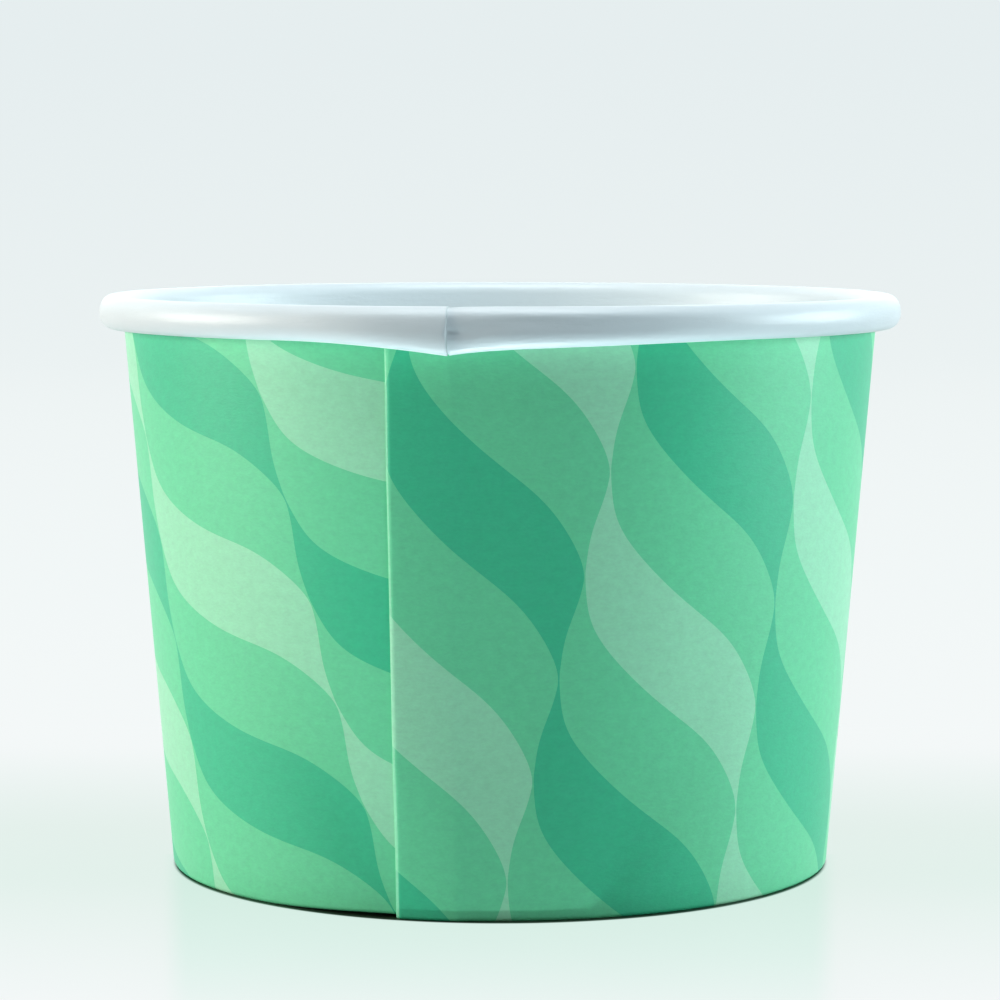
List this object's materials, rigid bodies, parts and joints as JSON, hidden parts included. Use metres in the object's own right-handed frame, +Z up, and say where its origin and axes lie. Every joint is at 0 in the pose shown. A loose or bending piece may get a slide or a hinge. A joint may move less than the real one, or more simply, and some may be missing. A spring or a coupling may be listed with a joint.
{
  "type": "paper dessert cup",
  "caption": "Small open paper dessert cup: printed conical wall with a glued lap, a rolled rim and a bottom set up inside a folded foot.",
  "frame": {"origin": "centre of the foot ring, on the surface that the cup stands on", "axes": "+Z up along the cup's axis, -Y towards the viewer, with the glued lap just left of it"},
  "size_m": [0.075, 0.0751, 0.0535],
  "materials": {
    "printed_board": "satin print",
    "white_board": "satin coating"
  },
  "bodies": {
    "root": {"side_wall": "printed_board", "bottom_disc": "white_board"}
  },
  "joints": []
}
